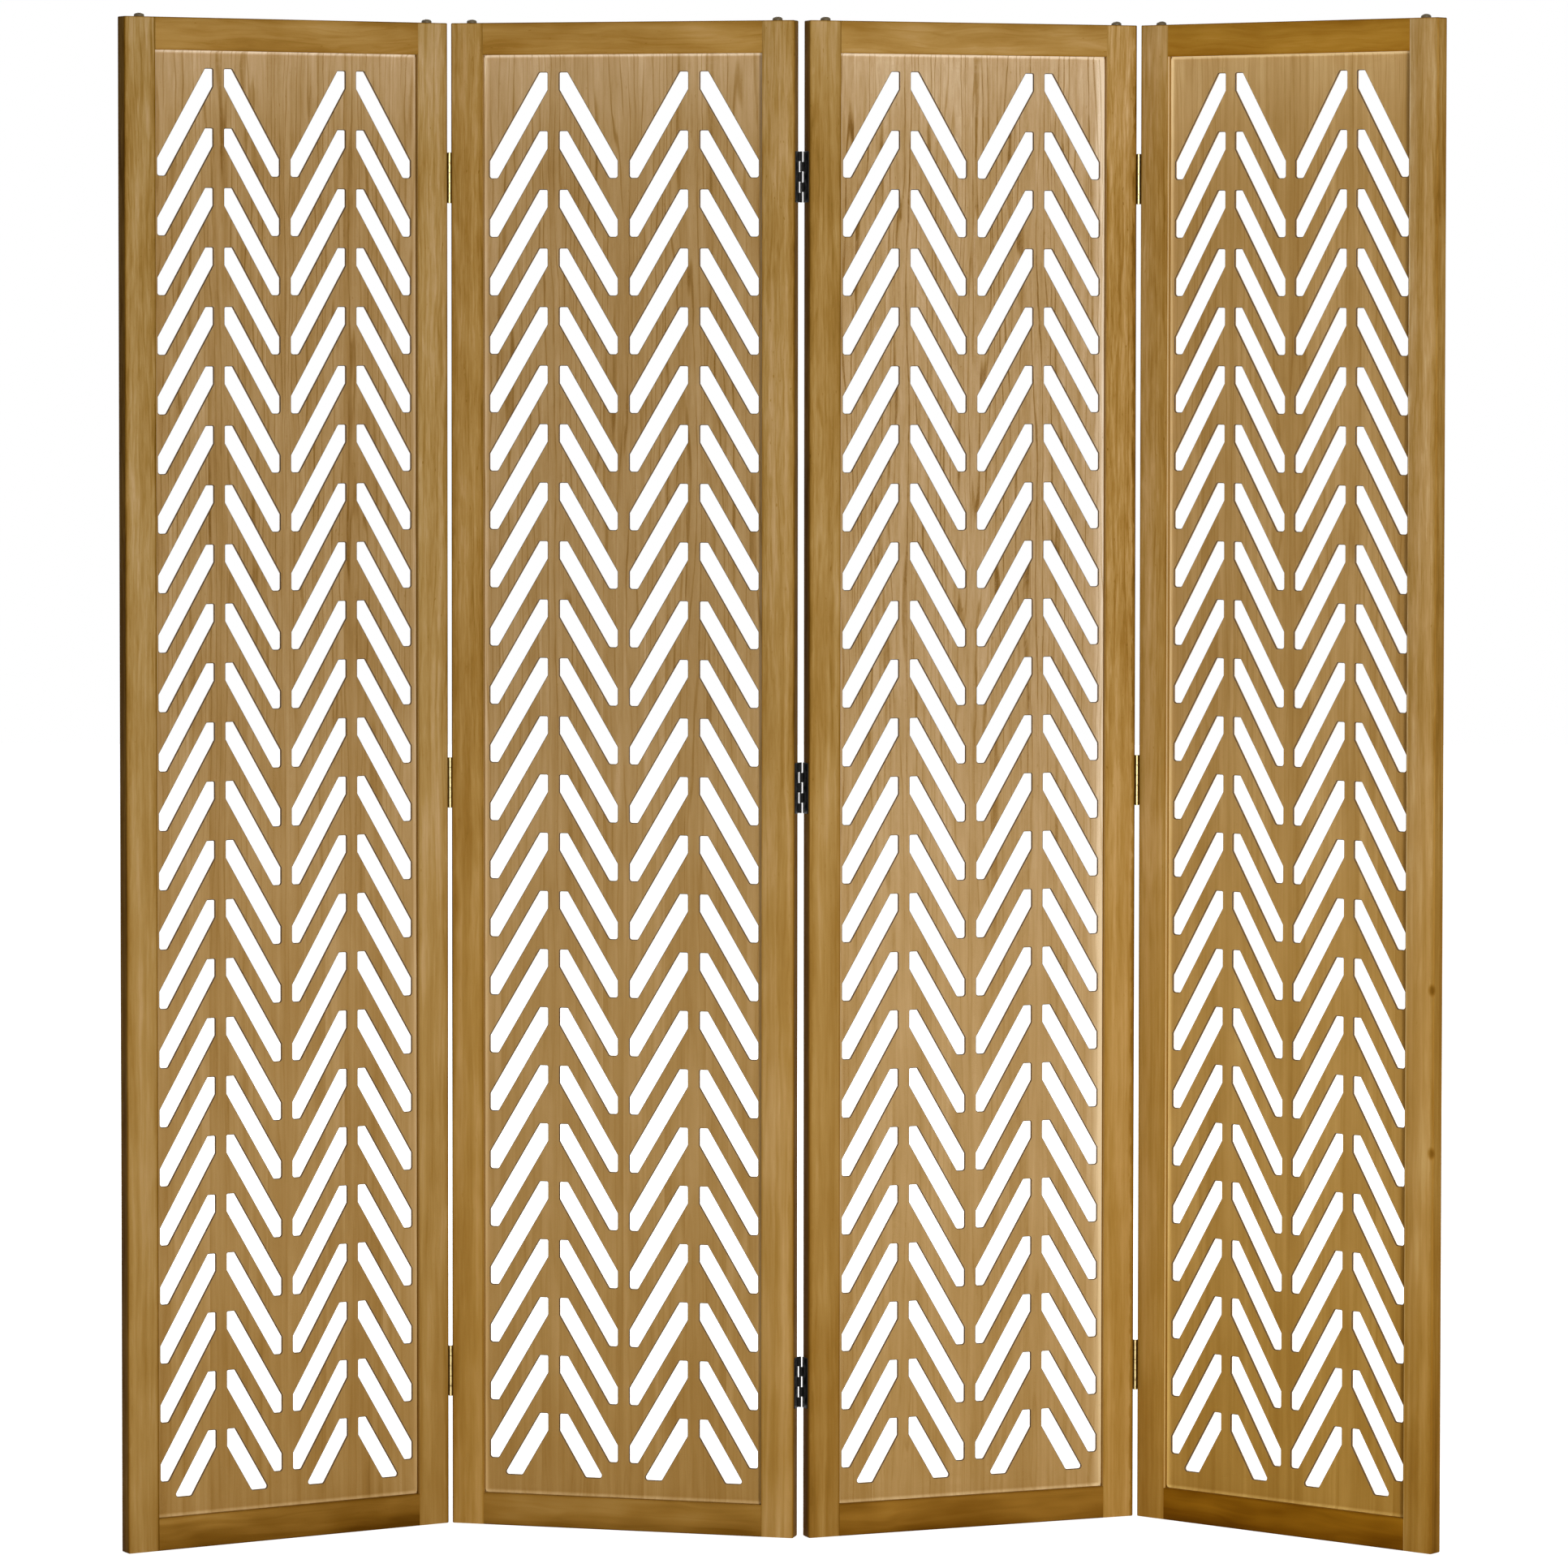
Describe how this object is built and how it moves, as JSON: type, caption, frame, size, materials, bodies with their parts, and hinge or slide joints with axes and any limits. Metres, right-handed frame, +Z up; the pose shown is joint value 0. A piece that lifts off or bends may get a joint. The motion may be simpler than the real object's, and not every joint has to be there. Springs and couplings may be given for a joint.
{
  "type": "folding screen",
  "caption": "Free-standing folding screen: framed wooden panels with slanted fretwork slots in chevron columns, joined edge to edge by butt hinges in a zigzag.",
  "frame": {"origin": "bottom centre of the bounding box of the standing screen, in the fold of the picture", "axes": "+Z up, -Y towards the front that the picture shows, +X to the right seen from the front"},
  "size_m": [1.4624, 0.2676, 1.7045],
  "materials": {
    "frame_wood": "satin lacquered golden-brown wood, straight grain",
    "fretwork_wood": "satin lacquered glued strips, dark cut edges",
    "brass_leaf": "aged brass plate",
    "brass_pin": "aged brass, turned",
    "black_leaf": "black enamel",
    "black_pin": "black enamel",
    "cap": "dark brown moulded plastic"
  },
  "bodies": {
    "panel_1": {"hinge_1_bottom_left_leaf": "brass_leaf", "hinge_1_bottom_pin": "brass_pin", "hinge_1_middle_left_leaf": "brass_leaf", "hinge_1_middle_pin": "brass_pin", "hinge_1_top_left_leaf": "brass_leaf", "hinge_1_top_pin": "brass_pin", "panel_1_bottom_rail": "frame_wood", "panel_1_fretwork": "fretwork_wood", "panel_1_left_cap": "cap", "panel_1_left_stile": "frame_wood", "panel_1_right_cap": "cap", "panel_1_right_stile": "frame_wood", "panel_1_top_rail": "frame_wood"},
    "panel_2": {"hinge_1_bottom_right_leaf": "brass_leaf", "hinge_1_middle_right_leaf": "brass_leaf", "hinge_1_top_right_leaf": "brass_leaf", "hinge_2_bottom_left_leaf": "black_leaf", "hinge_2_bottom_pin": "black_pin", "hinge_2_middle_left_leaf": "black_leaf", "hinge_2_middle_pin": "black_pin", "hinge_2_top_left_leaf": "black_leaf", "hinge_2_top_pin": "black_pin", "panel_2_bottom_rail": "frame_wood", "panel_2_fretwork": "fretwork_wood", "panel_2_left_cap": "cap", "panel_2_left_stile": "frame_wood", "panel_2_right_cap": "cap", "panel_2_right_stile": "frame_wood", "panel_2_top_rail": "frame_wood"},
    "panel_3": {"hinge_2_bottom_right_leaf": "black_leaf", "hinge_2_middle_right_leaf": "black_leaf", "hinge_2_top_right_leaf": "black_leaf", "hinge_3_bottom_left_leaf": "brass_leaf", "hinge_3_bottom_pin": "brass_pin", "hinge_3_middle_left_leaf": "brass_leaf", "hinge_3_middle_pin": "brass_pin", "hinge_3_top_left_leaf": "brass_leaf", "hinge_3_top_pin": "brass_pin", "panel_3_bottom_rail": "frame_wood", "panel_3_fretwork": "fretwork_wood", "panel_3_left_cap": "cap", "panel_3_left_stile": "frame_wood", "panel_3_right_cap": "cap", "panel_3_right_stile": "frame_wood", "panel_3_top_rail": "frame_wood"},
    "panel_4": {"hinge_3_bottom_right_leaf": "brass_leaf", "hinge_3_middle_right_leaf": "brass_leaf", "hinge_3_top_right_leaf": "brass_leaf", "panel_4_bottom_rail": "frame_wood", "panel_4_fretwork": "fretwork_wood", "panel_4_left_cap": "cap", "panel_4_left_stile": "frame_wood", "panel_4_right_cap": "cap", "panel_4_right_stile": "frame_wood", "panel_4_top_rail": "frame_wood"}
  },
  "joints": [
    {"name": "hinge_line_1", "type": "hinge", "parent": "panel_2", "child": "panel_1", "pos_m": [-0.37526, 0.06593, 0.85], "axis": [0, 0, 1], "range_deg": [-44.8, 135.2]},
    {"name": "hinge_line_2", "type": "hinge", "parent": "panel_2", "child": "panel_3", "pos_m": [0.02109, -0.01385, 0.85], "axis": [0, 0, 1], "range_deg": [-36.3, 143.7]},
    {"name": "hinge_line_3", "type": "hinge", "parent": "panel_3", "child": "panel_4", "pos_m": [0.40409, 0.11564, 0.85], "axis": [0, 0, 1], "range_deg": [-120, 60]}
  ]
}
